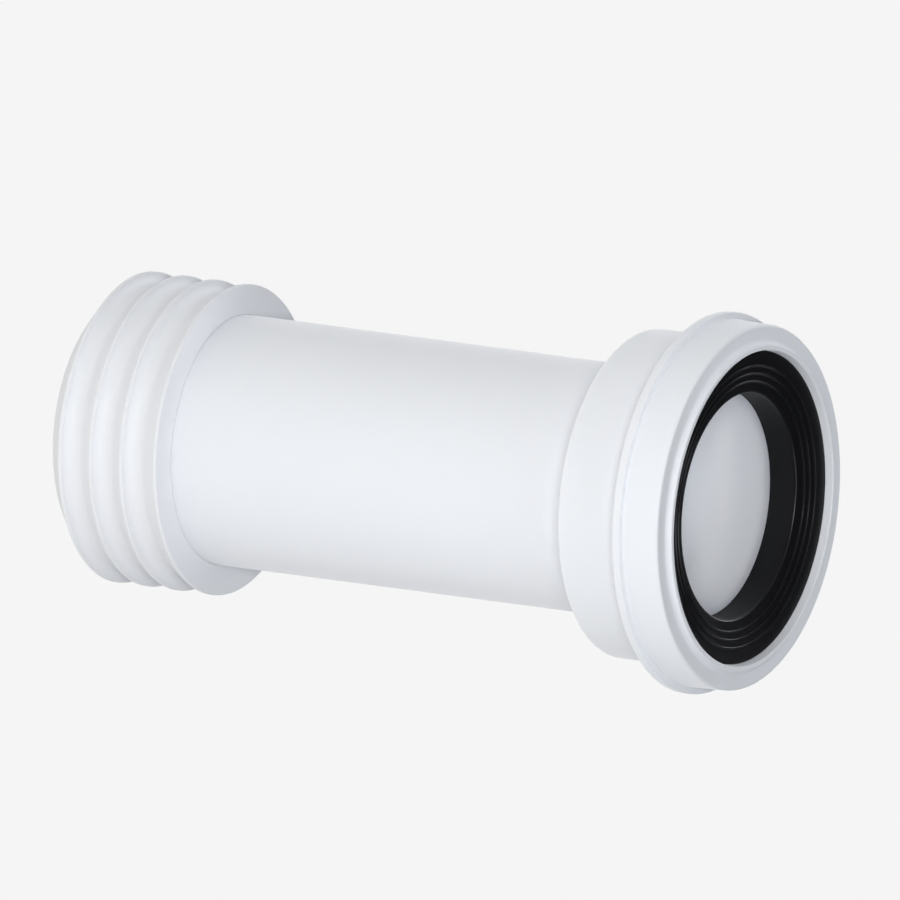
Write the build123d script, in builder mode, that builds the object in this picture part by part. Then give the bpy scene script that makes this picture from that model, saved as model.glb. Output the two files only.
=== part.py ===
from build123d import *
import os
from math import atan2, cos, radians, tan

# Straight WC pan connector: a white pipe with a finned spigot and a sealed socket.
# The axis is +Z. The part stands on its spigot end with the socket's mouth up, and the
# origin is the centre of the ring that it stands on. Sizes are in millimetres.

# Pipe and socket, moulded as one piece
pipe_outer_d = 96.6
pipe_wall = 3.0
shoulder_height = 231.2
shoulder_slope = 20.0
shoulder_edge_round = 1.1
shoulder_foot_round = 3.0
socket_outer_d = 127.1
socket_wall = 2.85
socket_depth = 41.8
mouth_flange_height = 7.6
mouth_flange_lip = 3.6
mouth_flange_lead = 1.2

# Finned sleeve on the spigot
fin_tip_d = 120.0
fin_tip_land = 1.3
fin_count = 4
first_fin_height = 9.4
fin_pitch = 13.45
last_fin_pitch = 15.05
fin_back_lean = 0.3
groove_wall = 2.45
groove_round = 4.5
nose_side_wall = 1.55
nose_wall = 2.0
nose_round = 0.6

# Rubber seal in the socket's mouth
seal_flange_wall = 2.9
seal_land_rise = 2.26
seal_dish = 3.5
seal_bore_d = 87.7
seal_lip_depth = 11.8
seal_lip_wall = 2.2
seal_lip_tip_wall = 1.7
seal_lip_front_round = 1.2
seal_back_wall = 3.0
seal_root_round = 1.5
first_ridge_inset = 6.15
last_ridge_inset = 4.0
ridge_pitch = 3.1
ridge_height = 0.55
ridge_base = 1.3
ridge_crest = 0.5

# Cap that is snapped over the socket's mouth
cap_face_wall = 3.05
cap_collar_wall = 3.3
cap_edge_round = 1.2
cap_draft = 0.4
cap_lip_height = 2.05
cap_lip_root = 2.85
cap_lip_crest = 2.3
cap_lip_round = 0.4
cap_lip_foot_round = 2.1
cap_snap_height = 5.1
cap_snap_lead = 1.5
cap_bead_proud = 2.65
cap_bead_height = 3.85
cap_bead_rear_round = 1.4
cap_bead_front_round = 0.5

# Clearances between pieces
sleeve_clearance = 0.1
seat_clearance = 0.1
land_clearance = 0.15
cap_clearance = 0.2

# Most that a rounding may take of the wall it stands on
round_share = 0.5

# Radii and heights that the pieces share
pipe_r = pipe_outer_d / 2
bore_r = pipe_r - pipe_wall
socket_r = socket_outer_d / 2
chamber_r = socket_r - socket_wall
flange_r = socket_r + mouth_flange_lip
pipe_end_z = nose_wall + seat_clearance
rim_z = shoulder_height + socket_depth
flange_z = rim_z - mouth_flange_height
seal_flange_low_z = rim_z + seat_clearance
seal_flange_top_z = seal_flange_low_z + seal_flange_wall
cap_underside_z = seal_flange_top_z + seat_clearance
cap_opening_r = chamber_r
cap_skirt_r = flange_r + cap_clearance


def closed_outline(corners):
    """Closed line round half a section, through corners of (radius, height, rounding)."""
    points = [(radius, height) for radius, height, _ in corners]
    roundings = [rounding for _, _, rounding in corners]
    FilletPolyline(points, radius=roundings, close=True)


# The shoulder is a shallow cone, rounded inside into one smooth curve from bore to chamber
slope = radians(shoulder_slope)
half_turn = radians(90 - shoulder_slope) / 2
shoulder_wall_z = socket_wall / cos(slope)
inner_cone = (chamber_r - bore_r) / cos(slope)
inner_tangent_share = 0.48
inner_round = inner_tangent_share * inner_cone / tan(half_turn)


def shoulder_z(radius):
    """Height of the outside of the shoulder's cone at a radius."""
    return shoulder_height - (socket_r - radius) * tan(slope)


body_outline = [
    (bore_r, pipe_end_z, 0),
    (pipe_r, pipe_end_z, 0),
    (pipe_r, shoulder_z(pipe_r), shoulder_foot_round),
    (socket_r, shoulder_height, shoulder_edge_round),
    (socket_r, flange_z, 0),
    (flange_r, flange_z, 0),
    (flange_r, rim_z - mouth_flange_lead, 0),
    (flange_r - mouth_flange_lead, rim_z, 0),
    (chamber_r, rim_z, 0),
    (chamber_r, shoulder_z(chamber_r) + shoulder_wall_z, inner_round),
    (bore_r, shoulder_z(bore_r) + shoulder_wall_z, inner_round),
]

with BuildPart() as connector_body:
    with BuildSketch(Plane.XZ):
        with BuildLine():
            closed_outline(body_outline)
        make_face()
    revolve(axis=Axis.Z)
connector_body.part.label = "connector_body"

# Each fin rises on a long slope to a narrow land and drops back into a rounded groove.
# The last one ends the sleeve, and its back stands square on the pipe.
fin_tip_r = fin_tip_d / 2
sleeve_bore_r = pipe_r + sleeve_clearance
nose_r = sleeve_bore_r + nose_side_wall
groove_r = sleeve_bore_r + groove_wall
groove_depth = fin_tip_r - groove_r
groove_width = min(fin_pitch, last_fin_pitch) - fin_tip_land - fin_back_lean
groove_half_angle = (atan2(groove_width, groove_depth) + atan2(fin_back_lean, groove_depth)) / 2
groove_round_share = 0.95
groove_corner_round = min(groove_round, groove_round_share * groove_depth * tan(groove_half_angle))
fin_heights = [first_fin_height + i * fin_pitch for i in range(fin_count - 1)]
sleeve_end_z = fin_heights[-1] + last_fin_pitch

sleeve_outline = [
    (bore_r, 0, nose_round),
    (nose_r, 0, nose_round),
]
for tip_z in fin_heights:
    sleeve_outline += [
        (fin_tip_r, tip_z - fin_tip_land, 0),
        (fin_tip_r, tip_z, 0),
        (groove_r, tip_z + fin_back_lean, groove_corner_round),
    ]
sleeve_outline += [
    (fin_tip_r, sleeve_end_z - fin_tip_land, 0),
    (fin_tip_r, sleeve_end_z, 0),
    (sleeve_bore_r, sleeve_end_z, 0),
    (sleeve_bore_r, nose_wall, 0),
    (bore_r, nose_wall, 0),
]

with BuildPart() as outlet_fin_seal:
    with BuildSketch(Plane.XZ):
        with BuildLine():
            closed_outline(sleeve_outline)
        make_face()
    revolve(axis=Axis.Z)
outlet_fin_seal.part.label = "outlet_fin_seal"

# The seal's front is a shallow dish inside the cap's opening, with as many fine ridges as
# it has room for, and its inner edge turns down into the lip that grips the pan's outlet.
land_r = cap_opening_r - land_clearance
land_z = seal_flange_top_z + seal_land_rise
seal_r = cap_skirt_r - seat_clearance
seal_bore_r = seal_bore_d / 2
lip_front_z = land_z - seal_dish
lip_end_z = lip_front_z - seal_lip_depth
lip_root_z = lip_front_z - seal_back_wall
dish_fall = seal_dish / (land_r - seal_bore_r)
first_ridge_r = land_r - first_ridge_inset
ridge_room = first_ridge_r - last_ridge_inset - seal_bore_r
ridge_count = max(0, int(ridge_room // ridge_pitch) + 1)


def dish_z(radius):
    """Height of the dished front of the seal at a radius."""
    return land_z - dish_fall * (land_r - radius)


seal_outline = [
    (seal_r, seal_flange_low_z, 0),
    (seal_r, seal_flange_top_z, 0),
    (land_r, seal_flange_top_z, 0),
    (land_r, land_z, 0),
]
for i in range(ridge_count):
    ridge_r = first_ridge_r - i * ridge_pitch
    crest_z = dish_z(ridge_r) + ridge_height
    seal_outline += [
        (ridge_r + ridge_base / 2, dish_z(ridge_r + ridge_base / 2), 0),
        (ridge_r + ridge_crest / 2, crest_z, 0),
        (ridge_r - ridge_crest / 2, crest_z, 0),
        (ridge_r - ridge_base / 2, dish_z(ridge_r - ridge_base / 2), 0),
    ]
seal_outline += [
    (seal_bore_r, lip_front_z, seal_lip_front_round),
    (seal_bore_r, lip_end_z, 0),
    (seal_bore_r + seal_lip_tip_wall, lip_end_z, 0),
    (seal_bore_r + seal_lip_wall, lip_root_z, seal_root_round),
    (chamber_r - seal_root_round, seal_flange_low_z, 0),
]

with BuildPart() as inlet_seal:
    with BuildSketch(Plane.XZ):
        with BuildLine():
            closed_outline(seal_outline)
        make_face()
    revolve(axis=Axis.Z)
inlet_seal.part.label = "inlet_seal"

# The cap's face holds the seal's flange down on the socket's rim, and the ring inside its
# bead is sprung over the socket's flange.
collar_r = cap_skirt_r + cap_collar_wall
bead_foot_r = collar_r + cap_draft
bead_r = bead_foot_r + cap_bead_proud
snap_r = socket_r + cap_clearance
snap_top_z = flange_z - seat_clearance
cap_rear_z = snap_top_z - cap_snap_height
bead_front_z = cap_rear_z + cap_bead_height
cap_face_z = cap_underside_z + cap_face_wall
cap_top_z = cap_face_z + cap_lip_height
bead_front_round = min(cap_bead_front_round, round_share * cap_bead_proud)
bead_rear_share = 0.9
bead_rear_round = min(cap_bead_rear_round, bead_rear_share * (cap_bead_height - bead_front_round))
lip_crest_round = min(cap_lip_round, round_share * cap_lip_crest)
lip_flank_half_angle = (radians(90) + atan2(cap_lip_root - cap_lip_crest, cap_lip_height)) / 2
lip_foot_share = 0.8
lip_foot_round = min(cap_lip_foot_round, lip_foot_share * cap_lip_height * tan(lip_flank_half_angle))

cap_outline = [
    (snap_r + cap_snap_lead, cap_rear_z, 0),
    (bead_r, cap_rear_z, bead_rear_round),
    (bead_r, bead_front_z, bead_front_round),
    (bead_foot_r, bead_front_z, 0),
    (collar_r, cap_face_z, cap_edge_round),
    (cap_opening_r + cap_lip_root, cap_face_z, lip_foot_round),
    (cap_opening_r + cap_lip_crest, cap_top_z, lip_crest_round),
    (cap_opening_r, cap_top_z, lip_crest_round),
    (cap_opening_r, cap_underside_z, 0),
    (cap_skirt_r, cap_underside_z, 0),
    (cap_skirt_r, snap_top_z, 0),
    (snap_r, snap_top_z, 0),
    (snap_r, cap_rear_z + cap_snap_lead, 0),
]

with BuildPart() as retaining_cap:
    with BuildSketch(Plane.XZ):
        with BuildLine():
            closed_outline(cap_outline)
        make_face()
    revolve(axis=Axis.Z)
retaining_cap.part.label = "retaining_cap"

os.makedirs("parts", exist_ok=True)
export_step(connector_body.part, "parts/connector_body.step")
export_step(outlet_fin_seal.part, "parts/outlet_fin_seal.step")
export_step(inlet_seal.part, "parts/inlet_seal.step")
export_step(retaining_cap.part, "parts/retaining_cap.step")
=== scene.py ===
"""White pan connector with a finned spigot and a capped, rubber-sealed socket."""

import math

import bmesh
import bpy
from mathutils import Matrix, Vector


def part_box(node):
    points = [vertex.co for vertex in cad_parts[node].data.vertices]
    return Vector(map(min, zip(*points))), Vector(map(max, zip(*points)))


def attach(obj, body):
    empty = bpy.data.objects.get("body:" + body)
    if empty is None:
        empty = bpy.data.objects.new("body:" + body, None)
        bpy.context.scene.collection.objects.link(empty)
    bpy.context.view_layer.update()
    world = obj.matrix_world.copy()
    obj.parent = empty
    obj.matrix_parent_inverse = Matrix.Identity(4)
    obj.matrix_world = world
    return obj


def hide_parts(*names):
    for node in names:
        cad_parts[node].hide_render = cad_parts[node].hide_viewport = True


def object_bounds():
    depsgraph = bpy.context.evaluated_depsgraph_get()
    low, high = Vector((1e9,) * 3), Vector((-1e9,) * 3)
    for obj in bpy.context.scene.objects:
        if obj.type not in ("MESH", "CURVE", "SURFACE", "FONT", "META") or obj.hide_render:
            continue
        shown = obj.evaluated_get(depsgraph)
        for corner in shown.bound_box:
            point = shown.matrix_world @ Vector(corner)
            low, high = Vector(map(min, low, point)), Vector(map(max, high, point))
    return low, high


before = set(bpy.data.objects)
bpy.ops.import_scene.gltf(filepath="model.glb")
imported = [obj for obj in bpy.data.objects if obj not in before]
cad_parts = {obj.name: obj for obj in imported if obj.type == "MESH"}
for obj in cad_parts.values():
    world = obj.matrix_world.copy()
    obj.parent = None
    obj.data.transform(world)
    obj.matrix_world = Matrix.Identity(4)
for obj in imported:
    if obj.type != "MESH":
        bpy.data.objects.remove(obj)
CAD_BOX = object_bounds()

bl_info = {
    "name": "Pan connector",
    "version": (1, 0, 0),
    "blender": (4, 5, 0),
    "location": "3D View > Sidebar > Connector",
    "description": "Dresses a pan connector: pipe and socket, finned sleeve, rubber seal and retaining cap",
    "category": "Object",
}

MM = 0.001
DEGREE = math.pi / 180

BODY_LOW, BODY_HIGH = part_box("connector_body")
SLEEVE_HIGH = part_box("outlet_fin_seal")[1]
SEAL_LOW, SEAL_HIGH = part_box("inlet_seal")
CAP_LOW, CAP_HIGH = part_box("retaining_cap")

# Fineness of the turned meshes and of the dome round the stage
TURN_SEGMENTS = 288
ARC_STEP = 7.5 * DEGREE
ARC_MIN_STEPS = 3
ARC_HOLD = 0.35 * MM
SHARP_ANGLE = 32 * DEGREE
DOME_SEGMENTS = 48
DOME_RINGS = 24

# Fineness of the patterns in a moulded skin, the softness of its bloom, and how far light spreads
# inside it in red, green and blue, as shares of the material's own distance
MOTTLE_DETAIL = 3.0
GLOSS_DETAIL = 4.0
GRAIN_DETAIL = 2.0
BLOOM_ROUGHNESS = 0.3
EVEN_SPREAD = (1.0, 1.0, 1.0)


def linear_colour(code):
    """Linear RGB of an sRGB hex colour such as #F0F2F5."""
    channels = [int(code[i:i + 2], 16) / 255 for i in (1, 3, 5)]
    return tuple(c / 12.92 if c <= 0.04045 else ((c + 0.055) / 1.055) ** 2.4 for c in channels)


def length(label, size, description):
    """A length property whose default is given in metres."""
    return bpy.props.FloatProperty(
        name=label, description=description, default=size, min=0.0, unit="LENGTH", precision=5
    )


def colour(label, code, description):
    """A colour property whose default is an sRGB hex colour."""
    return bpy.props.FloatVectorProperty(
        name=label, description=description, default=linear_colour(code),
        min=0.0, max=1.0, subtype="COLOR",
    )


def level(label, value, description):
    """A plain number property, such as a light's strength."""
    return bpy.props.FloatProperty(name=label, description=description, default=value, min=0.0)


def slant(label, degrees, description):
    """An angle property whose default is given in degrees."""
    return bpy.props.FloatProperty(
        name=label, description=description, default=degrees * DEGREE, subtype="ANGLE"
    )


def whole_number(label, value, description):
    """A count property."""
    return bpy.props.IntProperty(name=label, description=description, default=value, min=0)


class ConnectorBodySizes(bpy.types.PropertyGroup):
    """Pipe and socket."""

    pipe_r: length("Pipe radius", 48.3 * MM, "Outside of the pipe")
    bore_r: length("Bore radius", 45.3 * MM, "Inside of the pipe")
    socket_r: length("Socket radius", 63.55 * MM, "Outside of the socket")
    chamber_r: length("Chamber radius", 60.7 * MM, "Inside of the socket")
    flange_r: length("Flange radius", BODY_HIGH.x, "Rim that the cap is sprung over")
    end_z: length("Pipe end", BODY_LOW.z, "Height of the pipe's lower end")
    shoulder_z: length("Shoulder edge", 231.2 * MM, "Height of the shoulder's outer edge")
    shoulder_slope: slant("Shoulder slope", 20.0, "Rise of the shoulder from the pipe to the socket")
    flange_z: length("Flange underside", 265.4 * MM, "Height of the underside of the rim's flange")
    rim_z: length("Rim", BODY_HIGH.z, "Height of the socket's rim")
    foot_round: length("Foot rounding", 3.0 * MM, "Rounding from the pipe into the shoulder")
    shoulder_round: length("Shoulder rounding", 1.1 * MM, "Rounding of the shoulder's outer edge")
    inner_share: level("Inner rounding", 0.48, "Share of the inner slope in the rounding at each end")
    flange_lead: length("Flange lead", 1.2 * MM, "Slope on the rim that leads the cap on")
    edge_round: length("Edge rounding", 0.4 * MM, "Rounding of the moulded edges")


class FinSleeveSizes(bpy.types.PropertyGroup):
    """Finned sleeve on the spigot."""

    tip_r: length("Fin radius", SLEEVE_HIGH.x, "Out to the fins' tips")
    bore_r: length("Nose bore", 45.3 * MM, "Inside of the nose, as wide as the pipe's bore")
    seat_r: length("Seat radius", 48.4 * MM, "Inside of the sleeve, on the pipe")
    nose_r: length("Nose radius", 49.95 * MM, "Outside of the nose")
    groove_r: length("Groove radius", 50.85 * MM, "Corner at the bottom of each groove")
    nose_wall: length("Nose wall", 2.0 * MM, "Wall under the pipe's end")
    first_fin_z: length("First fin", 9.4 * MM, "Height of the first fin's back")
    fin_pitch: length("Fin pitch", 13.45 * MM, "From one fin to the next")
    even_fins: whole_number("Even fins", 3, "Fins at that pitch, before the last one")
    tip_land: length("Fin tip land", 1.3 * MM, "Height of the narrow band round a fin's tip")
    tip_round: length("Fin tip rounding", 0.35 * MM, "Rounding of a fin's tip")
    back_lean: length("Fin back lean", 0.3 * MM, "Rise of a fin's back towards the groove")
    end_z: length("Sleeve end", SLEEVE_HIGH.z, "Height of the last fin's back, which ends the sleeve")
    groove_round: length("Groove rounding", 4.4 * MM, "Rounding of each groove")
    nose_round: length("Nose rounding", 0.6 * MM, "Rounding of the nose's edges")


class InletSealSizes(bpy.types.PropertyGroup):
    """Black rubber seal in the socket's mouth."""

    flange_r: length("Flange radius", SEAL_HIGH.x, "Outer edge, trapped under the cap")
    land_r: length("Front radius", 60.55 * MM, "Edge of the front that shows in the cap's opening")
    bore_r: length("Lip radius", 43.85 * MM, "Free inside of the lip")
    root_r: length("Underside radius", 59.2 * MM, "Where the underside meets the socket's rim")
    flange_low_z: length("Flange underside", 273.1 * MM, "Height of the seat on the socket's rim")
    flange_top_z: length("Flange top", 276.0 * MM, "Height of the flange under the cap's face")
    land_z: length("Front edge", SEAL_HIGH.z, "Height of the front's outer edge")
    dish: length("Dish", 3.5 * MM, "Fall of the front from its edge to the lip")
    lip_end_z: length("Lip end", SEAL_LOW.z, "Height of the lip's inner end")
    lip_wall: length("Lip wall", 2.2 * MM, "Wall of the lip at its root")
    tip_wall: length("Lip end wall", 1.7 * MM, "Wall of the lip at its end")
    back_wall: length("Back wall", 3.0 * MM, "Wall behind the front")
    front_round: length("Lip rounding", 0.8 * MM, "Rounding from the front into the lip")
    root_round: length("Root rounding", 1.5 * MM, "Rounding behind the lip")
    edge_round: length("Edge rounding", 0.4 * MM, "Rounding of the moulded edges")
    first_ridge_r: length("First ridge", 54.4 * MM, "Radius of the outermost ridge")
    ridge_pitch: length("Ridge pitch", 3.1 * MM, "From one ridge to the next")
    ridge_height: length("Ridge height", 0.55 * MM, "How far a ridge stands up")
    ridge_slope: length("Ridge slope", 0.45 * MM, "Width of a ridge's outer flank, which slopes")
    ridge_drop: length("Ridge drop", 0.12 * MM, "Width of a ridge's inner flank, which is steep")
    ridge_crest: length("Ridge crest", 0.44 * MM, "Width of a ridge at its top")
    ridge_round: length("Ridge rounding", 0.19 * MM, "Rounding of a ridge's top")
    ridge_count: whole_number("Ridges", 3, "Fine ridges round the front")


class RetainingCapSizes(bpy.types.PropertyGroup):
    """White cap that holds the seal."""

    bead_r: length("Bead radius", CAP_HIGH.x, "Outside of the bead round the rear")
    bead_foot_r: length("Collar foot radius", 71.05 * MM, "Collar where it leaves the bead")
    collar_r: length("Collar radius", 70.65 * MM, "Collar at the face")
    opening_r: length("Opening radius", 60.7 * MM, "Opening that the seal shows in")
    skirt_r: length("Skirt radius", 67.35 * MM, "Inside of the collar, over the flange")
    snap_r: length("Snap radius", 63.75 * MM, "Ring that is sprung over the flange")
    rear_z: length("Rear", CAP_LOW.z, "Height of the cap's rear edge")
    bead_front_z: length("Bead front", 264.05 * MM, "Height of the bead's front")
    snap_top_z: length("Snap top", 265.3 * MM, "Height of the top of the snap ring")
    underside_z: length("Underside", 276.1 * MM, "Height of the inside of the face")
    face_z: length("Face", 279.15 * MM, "Height of the face")
    top_z: length("Lip top", CAP_HIGH.z, "Height of the lip round the opening")
    draft_z: length("Draft start", 278.3 * MM, "Height where the opening starts to widen")
    opening_draft: length("Opening draft", 0.4 * MM, "How much the opening widens to its top")
    lip_root: length("Lip root", 2.85 * MM, "Width of the lip on the face")
    lip_crest: length("Lip crest", 2.3 * MM, "Width of the lip at its top")
    lip_round: length("Lip rounding", 0.4 * MM, "Rounding of the lip")
    lip_foot_round: length("Lip foot rounding", 2.1 * MM, "Rounding from the face into the lip")
    face_round: length("Face rounding", 1.2 * MM, "Rounding from the face to the collar")
    rear_round: length("Bead rear rounding", 1.4 * MM, "Rounding of the bead's rear")
    bead_round: length("Bead front rounding", 0.5 * MM, "Rounding of the bead's front")
    snap_lead: length("Snap lead", 1.5 * MM, "Slope that leads the ring over the flange")
    edge_round: length("Edge rounding", 0.3 * MM, "Rounding of the other edges")


class FinishColours(bpy.types.PropertyGroup):
    """Colours of the four materials, the floor and the light."""

    pipe_white: colour("Pipe white", "#F1F3FA", "Moulded polypropylene of the pipe and socket")
    cap_white: colour("Cap white", "#F2F4F7", "Moulded polypropylene of the cap")
    sleeve_white: colour("Sleeve white", "#EFF0F2", "Soft elastomer of the finned sleeve")
    seal_black: colour("Seal black", "#18181A", "Moulded rubber of the seal")
    floor_pale: colour("Floor", "#F5F5F5", "Pale floor and background")
    key_light: colour("Key light", "#FFFFFF", "Light from the front")
    fill_light: colour("Fill light", "#F4F8FF", "Cooler light from the sides, the top and behind")


class StageSettings(bpy.types.PropertyGroup):
    """Camera and light."""

    picture_px: level("Picture size", 900.0, "Side of the square picture, in pixels")
    scale: level("Scale", 2.61, "Pixels per millimetre in the picture")
    anchor_z: length("Anchor", 278.4 * MM, "Height on the axis of the point that is placed in the picture")
    anchor_px: level("Anchor across", 746.8, "Pixels from the picture's left edge to that point")
    anchor_py: level("Anchor down", 507.1, "Pixels from the picture's top edge to that point")
    lean: slant("Lean", 29.1, "Angle of the axis out of the picture, towards the viewer")
    tilt: slant("Tilt", 7.522, "Fall of the axis in the picture, to the right")
    camera_distance: length("Camera distance", 2.0, "From the object to the camera")
    floor_size: length("Floor size", 12.0, "Side of the floor")
    floor_gap: length("Floor gap", 1.0 * MM, "From the floor down to the sheet that gives its light")
    backdrop_r: length("Backdrop radius", 10.0, "Radius of the pale dome round the stage")
    floor_glow: level("Floor glow", 0.88, "Light from the floor, against its brightness in the picture")
    key: level("Key light", 94.0, "Power of the small light beside the camera")
    upper_key: level("Upper key light", 55.0, "Power of the small light over the camera")
    front: level("Front light", 29.0, "Power of the soft light round the camera")
    right: level("Right light", 26.0, "Power of the light in front, on the +X side")
    left_high: level("High left light", 32.0, "Power of the light high in front, on the -X side")
    right_high: level("High right light", 54.0, "Power of the light high in front, on the +X side")
    left_level: level("Level left light", 16.0, "Power of the level light in front, on the -X side")
    right_level: level("Level right light", 25.0, "Power of the level light in front, on the +X side")
    side_high: level("High side light", 12.0, "Power of the light high on the +X side")
    side_left: level("Left side light", 26.0, "Power of the light beside the object, on the -X side")
    side_right: level("Right side light", 10.0, "Power of the light beside the object, on the +X side")
    low_left: level("Low left light", 20.0, "Power of the low light on the -X side, to the rear")
    back_left: level("Back left light", 100.0, "Power of the low light behind, on the -X side")
    back_right: level("Back right light", 20.0, "Power of the low light behind, on the +X side")
    light_distance: length("Light distance", 6.0, "From the object to each light")
    small_light: length("Small light", 0.8, "Side of the two key lights")
    large_light: length("Large light", 2.4, "Side of every other light")


def add_node(tree, kind, inputs=None, settings=None):
    """Adds a node with its settings; each input is a value or another node's output."""
    node = tree.nodes.new(kind)
    for name, value in (settings or {}).items():
        setattr(node, name, value)
    for socket, value in (inputs or {}).items():
        if isinstance(value, bpy.types.NodeSocket):
            tree.links.new(value, node.inputs[socket])
        else:
            node.inputs[socket].default_value = value
    return node


def new_material(name):
    """An empty node material and its tree."""
    material = bpy.data.materials.new(name)
    material.use_nodes = True
    material.node_tree.nodes.clear()
    return material, material.node_tree


def per_metre(size_mm):
    """Texture scale for features of a real size, in object space."""
    return 1 / (size_mm * MM)


def moulded_skin(
    name, base, roughness, ior, mottle, mottle_mm, gloss_mm, grain_mm, grain_depth_mm,
    bloom=0.0, milky=0.0, milky_mm=1.0, dull_heights=None, dull_amount=0.0
):
    """A moulded surface: mottled colour, uneven gloss and a fine grain, all at real sizes. Bloom is
    a faint veil that lightens what turns away from the eye, and milky is the share of the light
    that spreads inside the wall. Where dull_heights gives a lower and an upper height, the skin
    gets rougher from the upper one down to the lower one, by dull_amount."""
    material, tree = new_material(name)
    place = add_node(tree, "ShaderNodeTexCoord").outputs["Object"]
    cloud = add_node(
        tree, "ShaderNodeTexNoise",
        {"Vector": place, "Scale": per_metre(mottle_mm), "Detail": MOTTLE_DETAIL},
    )
    tint = add_node(
        tree, "ShaderNodeMix",
        {"Factor": cloud.outputs["Fac"], "A": (*base, 1.0), "B": (*[c * mottle for c in base], 1.0)},
        {"data_type": "RGBA"},
    )
    polish = add_node(
        tree, "ShaderNodeTexNoise",
        {"Vector": place, "Scale": per_metre(gloss_mm), "Detail": GLOSS_DETAIL},
    )
    gloss = add_node(
        tree, "ShaderNodeMapRange",
        {"Value": polish.outputs["Fac"], "To Min": roughness[0], "To Max": roughness[1]},
    ).outputs["Result"]
    if dull_heights:
        height = add_node(tree, "ShaderNodeSeparateXYZ", {"Vector": place}).outputs["Z"]
        extra = add_node(
            tree, "ShaderNodeMapRange",
            {
                "Value": height,
                "From Min": dull_heights[0],
                "From Max": dull_heights[1],
                "To Min": dull_amount,
                "To Max": 0.0,
            },
        ).outputs["Result"]
        gloss = add_node(
            tree, "ShaderNodeMath", {0: gloss, 1: extra}, {"operation": "ADD"}
        ).outputs["Value"]
    grain = add_node(
        tree, "ShaderNodeTexNoise",
        {"Vector": place, "Scale": per_metre(grain_mm), "Detail": GRAIN_DETAIL},
    )
    relief = add_node(
        tree, "ShaderNodeBump",
        {"Height": grain.outputs["Fac"], "Strength": 1.0, "Distance": grain_depth_mm * MM},
    )
    surface = add_node(
        tree, "ShaderNodeBsdfPrincipled",
        {
            "Base Color": tint.outputs["Result"],
            "Roughness": gloss,
            "Normal": relief.outputs["Normal"],
            "IOR": ior,
            "Subsurface Weight": milky,
            "Subsurface Radius": EVEN_SPREAD,
            "Subsurface Scale": milky_mm * MM,
            "Sheen Weight": bloom,
            "Sheen Roughness": BLOOM_ROUGHNESS,
        },
    )
    add_node(tree, "ShaderNodeOutputMaterial", {"Surface": surface.outputs["BSDF"]})
    return material


def white_polypropylene(name, base, milky):
    """Injection moulded polypropylene: clean cool white with a soft, slightly uneven satin gloss. A
    milky one lets some light through its wall, so that the bore isn't dark."""
    return moulded_skin(
        name, base, roughness=(0.54, 0.64), ior=1.49,
        mottle=0.985, mottle_mm=22, gloss_mm=9, grain_mm=1.6, grain_depth_mm=0.004,
        bloom=0.3, milky=milky, milky_mm=1.2,
    )


def white_elastomer(base):
    """Moulded thermoplastic elastomer: a slightly greyer white than the pipe's, with a satin gloss."""
    return moulded_skin(
        "Moulded white elastomer", base, roughness=(0.5, 0.6), ior=1.5,
        mottle=0.98, mottle_mm=14, gloss_mm=7, grain_mm=1.2, grain_depth_mm=0.006,
    )


def black_rubber(base, lip_z):
    """Moulded black rubber: near black, with a smooth satin front whose ridges catch thin lines of
    light, and a duller lip below the height lip_z. The faint grain that breaks up its highlights is
    about 0.2 mm on the real part, and is drawn coarser so that it shows."""
    fade_below = 0.4 * MM
    fade_above = 0.2 * MM
    return moulded_skin(
        "Moulded black rubber", base, roughness=(0.28, 0.36), ior=1.4,
        mottle=0.7, mottle_mm=11, gloss_mm=5, grain_mm=0.8, grain_depth_mm=0.008,
        dull_heights=(lip_z - fade_below, lip_z + fade_above), dull_amount=0.28,
    )


def rounded_outline(corners):
    """Points round a closed half section. Each corner is (radius, height, rounding), and a rounded
    one becomes an arc. A run with room for it also gets a point just off each arc, which keeps its
    shading flat."""
    count = len(corners)
    spots = [Vector(corner[:2]) for corner in corners]
    halves = [
        (spots[i - 1] - spots[i]).angle(spots[(i + 1) % count] - spots[i]) / 2 for i in range(count)
    ]
    reaches = [corners[i][2] / math.tan(halves[i]) for i in range(count)]
    points = []
    for i, here in enumerate(spots):
        rounding, reach = corners[i][2], reaches[i]
        if rounding <= 0:
            points.append(here)
            continue
        back = spots[i - 1] - here
        onward = spots[(i + 1) % count] - here
        back_way, onward_way = back.normalized(), onward.normalized()
        centre = here + (back_way + onward_way).normalized() * rounding / math.sin(halves[i])
        start = here + back_way * reach
        turn = math.pi - 2 * halves[i]
        if back.cross(onward) > 0:
            turn = -turn
        steps = max(ARC_MIN_STEPS, math.ceil(abs(turn) / ARC_STEP))
        if back.length - reach - reaches[i - 1] > 2 * ARC_HOLD:
            points.append(start + back_way * ARC_HOLD)
        for step in range(steps + 1):
            points.append(centre + Matrix.Rotation(turn * step / steps, 2) @ (start - centre))
        if onward.length - reach - reaches[(i + 1) % count] > 2 * ARC_HOLD:
            points.append(here + onward_way * (reach + ARC_HOLD))
    return points


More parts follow.
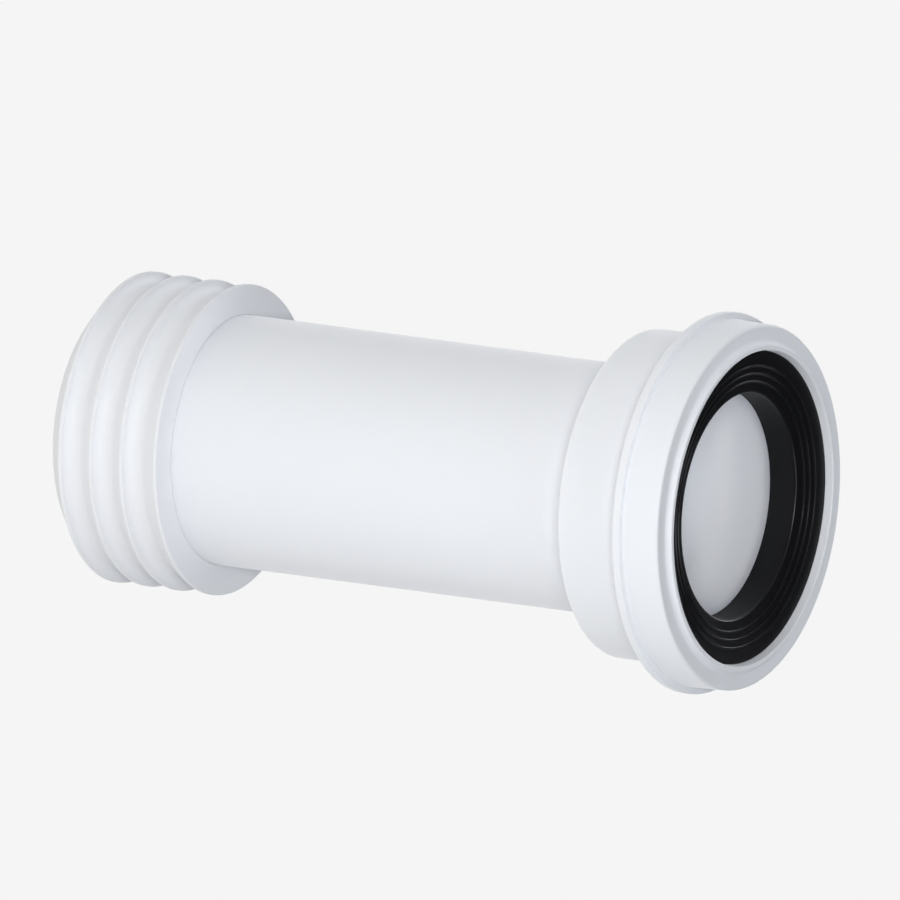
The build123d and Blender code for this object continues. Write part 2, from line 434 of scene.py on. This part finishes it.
def turned_piece(name, corners, material, node):
    """Turns a closed half section about the axis and puts it in place of a CAD node."""
    outline = rounded_outline(corners)
    count = len(outline)
    mesh = bpy.data.meshes.new(name)
    shape = bmesh.new()
    rings = []
    for segment in range(TURN_SEGMENTS):
        angle = 2 * math.pi * segment / TURN_SEGMENTS
        rings.append([
            shape.verts.new((p.x * math.cos(angle), p.x * math.sin(angle), p.y)) for p in outline
        ])
    for segment in range(TURN_SEGMENTS):
        near, far = rings[segment], rings[(segment + 1) % TURN_SEGMENTS]
        for i in range(count):
            j = (i + 1) % count
            shape.faces.new((near[i], near[j], far[j], far[i]))
    bmesh.ops.recalc_face_normals(shape, faces=shape.faces)
    shape.to_mesh(mesh)
    shape.free()
    mesh.polygons.foreach_set("use_smooth", [True] * len(mesh.polygons))
    mesh.set_sharp_from_angle(angle=SHARP_ANGLE)
    mesh.materials.append(material)
    piece = bpy.data.objects.new(name, mesh)
    bpy.context.scene.collection.objects.link(piece)
    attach(piece, "root")
    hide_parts(node)


class CONNECTOR_OT_body(bpy.types.Operator):
    """Makes the white pipe with its socket"""

    bl_idname = "connector.body"
    bl_label = "Pipe and socket"

    def execute(self, context):
        s = context.scene.connector_body
        wall_z = (s.socket_r - s.chamber_r) / math.cos(s.shoulder_slope)
        inner_length = (s.chamber_r - s.bore_r) / math.cos(s.shoulder_slope)
        inner_turn = math.pi / 2 - s.shoulder_slope
        inner_round = s.inner_share * inner_length / math.tan(inner_turn / 2)

        def cone_z(radius):
            """Height of the shoulder's outside at a radius."""
            return s.shoulder_z - (s.socket_r - radius) * math.tan(s.shoulder_slope)

        corners = [
            (s.bore_r, s.end_z, s.edge_round),
            (s.pipe_r, s.end_z, s.edge_round),
            (s.pipe_r, cone_z(s.pipe_r), s.foot_round),
            (s.socket_r, s.shoulder_z, s.shoulder_round),
            (s.socket_r, s.flange_z, 0),
            (s.flange_r, s.flange_z, s.edge_round),
            (s.flange_r, s.rim_z - s.flange_lead, 0),
            (s.flange_r - s.flange_lead, s.rim_z, 0),
            (s.chamber_r, s.rim_z, s.edge_round),
            (s.chamber_r, cone_z(s.chamber_r) + wall_z, inner_round),
            (s.bore_r, cone_z(s.bore_r) + wall_z, inner_round),
        ]
        white = context.scene.connector_colours.pipe_white
        material = white_polypropylene("Milky white polypropylene", white, milky=1.0)
        turned_piece("pipe_and_socket", corners, material, "connector_body")
        return {"FINISHED"}


class CONNECTOR_OT_sleeve(bpy.types.Operator):
    """Makes the soft white sleeve with its four fins"""

    bl_idname = "connector.sleeve"
    bl_label = "Finned sleeve"

    def execute(self, context):
        s = context.scene.connector_sleeve
        corners = [(s.bore_r, 0.0, s.nose_round), (s.nose_r, 0.0, s.nose_round)]
        for i in range(s.even_fins):
            back_z = s.first_fin_z + i * s.fin_pitch
            corners += [
                (s.tip_r, back_z - s.tip_land, s.tip_round),
                (s.tip_r, back_z, s.tip_round),
                (s.groove_r, back_z + s.back_lean, s.groove_round),
            ]
        corners += [
            (s.tip_r, s.end_z - s.tip_land, s.tip_round),
            (s.tip_r, s.end_z, s.tip_round),
            (s.seat_r, s.end_z, 0),
            (s.seat_r, s.nose_wall, 0),
            (s.bore_r, s.nose_wall, 0),
        ]
        material = white_elastomer(context.scene.connector_colours.sleeve_white)
        turned_piece("finned_sleeve", corners, material, "outlet_fin_seal")
        return {"FINISHED"}


class CONNECTOR_OT_seal(bpy.types.Operator):
    """Makes the black rubber seal with its ridges and its lip"""

    bl_idname = "connector.seal"
    bl_label = "Rubber seal"

    def execute(self, context):
        s = context.scene.connector_seal
        fall = s.dish / (s.land_r - s.bore_r)
        lip_front_z = s.land_z - s.dish

        def front_z(radius):
            """Height of the dished front at a radius."""
            return s.land_z - fall * (s.land_r - radius)

        corners = [
            (s.flange_r, s.flange_low_z, s.edge_round),
            (s.flange_r, s.flange_top_z, s.edge_round),
            (s.land_r, s.flange_top_z, 0),
            (s.land_r, s.land_z, s.edge_round),
        ]
        for i in range(s.ridge_count):
            ridge_r = s.first_ridge_r - i * s.ridge_pitch
            crest_z = front_z(ridge_r) + s.ridge_height
            outer_r = ridge_r + s.ridge_crest / 2
            inner_r = ridge_r - s.ridge_crest / 2
            corners += [
                (outer_r + s.ridge_slope, front_z(outer_r + s.ridge_slope), 0),
                (outer_r, crest_z, s.ridge_round),
                (inner_r, crest_z, s.ridge_round),
                (inner_r - s.ridge_drop, front_z(inner_r - s.ridge_drop), 0),
            ]
        corners += [
            (s.bore_r, lip_front_z, s.front_round),
            (s.bore_r, s.lip_end_z, s.edge_round),
            (s.bore_r + s.tip_wall, s.lip_end_z, s.edge_round),
            (s.bore_r + s.lip_wall, lip_front_z - s.back_wall, s.root_round),
            (s.root_r, s.flange_low_z, 0),
        ]
        material = black_rubber(context.scene.connector_colours.seal_black, lip_front_z - s.front_round)
        turned_piece("rubber_seal", corners, material, "inlet_seal")
        return {"FINISHED"}


class CONNECTOR_OT_cap(bpy.types.Operator):
    """Makes the white cap that holds the seal"""

    bl_idname = "connector.cap"
    bl_label = "Retaining cap"

    def execute(self, context):
        s = context.scene.connector_cap
        corners = [
            (s.snap_r + s.snap_lead, s.rear_z, s.edge_round),
            (s.bead_r, s.rear_z, s.rear_round),
            (s.bead_r, s.bead_front_z, s.bead_round),
            (s.bead_foot_r, s.bead_front_z, s.edge_round),
            (s.collar_r, s.face_z, s.face_round),
            (s.opening_r + s.lip_root, s.face_z, s.lip_foot_round),
            (s.opening_r + s.lip_crest, s.top_z, s.lip_round),
            (s.opening_r + s.opening_draft, s.top_z, s.lip_round),
            (s.opening_r, s.draft_z, 0),
            (s.opening_r, s.underside_z, 0),
            (s.skirt_r, s.underside_z, 0),
            (s.skirt_r, s.snap_top_z, 0),
            (s.snap_r, s.snap_top_z, 0),
            (s.snap_r, s.rear_z + s.snap_lead, 0),
        ]
        white = context.scene.connector_colours.cap_white
        material = white_polypropylene("Opaque white polypropylene", white, milky=0.0)
        turned_piece("seal_cap", corners, material, "retaining_cap")
        return {"FINISHED"}


def pale_ground(name, shade, strength):
    """Evenly glowing studio paper, so that the ground has no gradient."""
    material, tree = new_material(name)
    light = add_node(tree, "ShaderNodeEmission", {"Color": (*shade, 1.0), "Strength": strength})
    add_node(tree, "ShaderNodeOutputMaterial", {"Surface": light.outputs["Emission"]})
    return material


def stage_object(name, shape, material, seen, gives_light):
    """A stage object from a bmesh, which is seen by the camera, gives light to the object, or both.
    It never casts a shadow."""
    mesh = bpy.data.meshes.new(name)
    shape.to_mesh(mesh)
    shape.free()
    mesh.materials.append(material)
    prop = bpy.data.objects.new(name, mesh)
    prop.visible_camera = seen
    prop.visible_diffuse = gives_light
    prop.visible_glossy = gives_light
    prop.visible_transmission = gives_light
    prop.visible_shadow = False
    bpy.context.scene.collection.objects.link(prop)


def flat_sheet(side, height):
    """A square face at a height."""
    shape = bmesh.new()
    bmesh.ops.create_grid(
        shape, x_segments=1, y_segments=1, size=side / 2, matrix=Matrix.Translation((0, 0, height))
    )
    return shape


def soft_light(name, aim, away, power, size, shade):
    """A square light at an offset from a point, turned towards it."""
    data = bpy.data.lights.new(name, "AREA")
    data.shape = "SQUARE"
    data.size = size
    data.energy = power
    data.color = shade
    lamp = bpy.data.objects.new(name, data)
    lamp.location = aim + away
    lamp.rotation_mode = "QUATERNION"
    lamp.rotation_quaternion = away.to_track_quat("Z", "Y")
    lamp.visible_camera = False
    bpy.context.scene.collection.objects.link(lamp)


def set_ground(scene):
    """The floor and the dome round it, which are seen, and a sheet under the floor, which gives the
    floor's light. The room beyond them is dark."""
    s = scene.connector_stage
    pale = scene.connector_colours.floor_pale
    paper = pale_ground("Pale studio paper", pale, strength=1.0)
    glow = pale_ground("Light from the floor", pale, strength=s.floor_glow)
    floor = flat_sheet(s.floor_size, 0.0)
    light_sheet = flat_sheet(s.floor_size, -s.floor_gap)
    stage_object("floor", floor, paper, seen=True, gives_light=False)
    stage_object("floor_light", light_sheet, glow, seen=False, gives_light=True)
    dome = bmesh.new()
    bmesh.ops.create_uvsphere(dome, u_segments=DOME_SEGMENTS, v_segments=DOME_RINGS, radius=s.backdrop_r)
    stage_object("backdrop", dome, paper, seen=True, gives_light=False)
    scene.world = bpy.data.worlds.new("Dark room")
    scene.world.use_nodes = True
    scene.world.node_tree.nodes["Background"].inputs["Strength"].default_value = 0.0


def set_lights(scene):
    """Square lights all round, aimed at the object's middle. The azimuth is in degrees from the
    camera's side towards +X, and the elevation in degrees from level."""
    s = scene.connector_stage
    plain = scene.connector_colours.key_light
    cool = scene.connector_colours.fill_light
    middle = (CAD_BOX[0] + CAD_BOX[1]) / 2
    for name, azimuth, elevation, power, size, shade in (
        ("key_light", 0, 29, s.key, s.small_light, plain),
        ("upper_key_light", 0, 36, s.upper_key, s.small_light, plain),
        ("front_light", 0, 30, s.front, s.large_light, plain),
        ("right_light", 50, 30, s.right, s.large_light, cool),
        ("left_high_light", -45, 60, s.left_high, s.large_light, cool),
        ("right_high_light", 45, 60, s.right_high, s.large_light, cool),
        ("left_level_light", -50, 0, s.left_level, s.large_light, cool),
        ("right_level_light", 50, 0, s.right_level, s.large_light, cool),
        ("side_high_light", 90, 60, s.side_high, s.large_light, cool),
        ("side_left_light", -80, 30, s.side_left, s.large_light, cool),
        ("side_right_light", 80, 30, s.side_right, s.large_light, cool),
        ("low_left_light", -115, 10, s.low_left, s.large_light, cool),
        ("back_left_light", -150, 10, s.back_left, s.large_light, cool),
        ("back_right_light", 150, 10, s.back_right, s.large_light, cool),
    ):
        away = Vector((
            math.sin(azimuth * DEGREE) * math.cos(elevation * DEGREE),
            -math.cos(azimuth * DEGREE) * math.cos(elevation * DEGREE),
            math.sin(elevation * DEGREE),
        ))
        soft_light(name, middle, away * s.light_distance, power, size, shade)


def set_camera(scene):
    """A parallel view in which the axis falls to the right and leans out towards the viewer."""
    s = scene.connector_stage
    towards = Vector((0, -math.cos(s.lean), math.sin(s.lean)))
    along = Vector((0, math.sin(s.lean), math.cos(s.lean)))
    across = along.cross(towards)
    right = math.cos(s.tilt) * along - math.sin(s.tilt) * across
    down = math.sin(s.tilt) * along + math.cos(s.tilt) * across
    metres_per_px = MM / s.scale
    centre_px = (s.picture_px - 1) / 2
    centre = Vector((0, 0, s.anchor_z))
    centre -= right * (s.anchor_px - centre_px) * metres_per_px
    centre -= down * (s.anchor_py - centre_px) * metres_per_px
    data = bpy.data.cameras.new("camera")
    data.type = "ORTHO"
    data.ortho_scale = s.picture_px * metres_per_px
    camera = bpy.data.objects.new("camera", data)
    place = Matrix.Translation(centre + towards * s.camera_distance)
    camera.matrix_world = place @ Matrix((right, -down, towards)).transposed().to_4x4()
    scene.collection.objects.link(camera)
    scene.camera = camera


class CONNECTOR_OT_stage(bpy.types.Operator):
    """Makes the floor, the lights and the camera"""

    bl_idname = "connector.stage"
    bl_label = "Stage"

    def execute(self, context):
        set_ground(context.scene)
        set_lights(context.scene)
        set_camera(context.scene)
        context.scene.view_settings.view_transform = "Standard"
        return {"FINISHED"}


class CONNECTOR_PT_panel(bpy.types.Panel):
    """Lists the connector's pieces and its stage"""

    bl_idname = "CONNECTOR_PT_panel"
    bl_label = "Pan connector"
    bl_space_type = "VIEW_3D"
    bl_region_type = "UI"
    bl_category = "Connector"

    def draw(self, context):
        for operator, group in (
            ("connector.body", "connector_body"),
            ("connector.sleeve", "connector_sleeve"),
            ("connector.seal", "connector_seal"),
            ("connector.cap", "connector_cap"),
            ("connector.stage", "connector_stage"),
            (None, "connector_colours"),
        ):
            box = self.layout.box()
            if operator:
                box.operator(operator)
            settings = getattr(context.scene, group)
            for name in settings.__annotations__:
                box.prop(settings, name)


GROUPS = {
    "connector_body": ConnectorBodySizes,
    "connector_sleeve": FinSleeveSizes,
    "connector_seal": InletSealSizes,
    "connector_cap": RetainingCapSizes,
    "connector_colours": FinishColours,
    "connector_stage": StageSettings,
}
CLASSES = (
    *GROUPS.values(),
    CONNECTOR_OT_body,
    CONNECTOR_OT_sleeve,
    CONNECTOR_OT_seal,
    CONNECTOR_OT_cap,
    CONNECTOR_OT_stage,
    CONNECTOR_PT_panel,
)


def register():
    """Adds the classes, and a group of settings to the scene for each group class."""
    for entry in CLASSES:
        bpy.utils.register_class(entry)
    for name, group in GROUPS.items():
        setattr(bpy.types.Scene, name, bpy.props.PointerProperty(type=group))


def unregister():
    """Takes away what register added."""
    for name in GROUPS:
        delattr(bpy.types.Scene, name)
    for entry in reversed(CLASSES):
        bpy.utils.unregister_class(entry)


def main():
    """Makes every piece and the stage."""
    register()
    bpy.ops.connector.body()
    bpy.ops.connector.sleeve()
    bpy.ops.connector.seal()
    bpy.ops.connector.cap()
    bpy.ops.connector.stage()


if __name__ == "__main__":
    main()
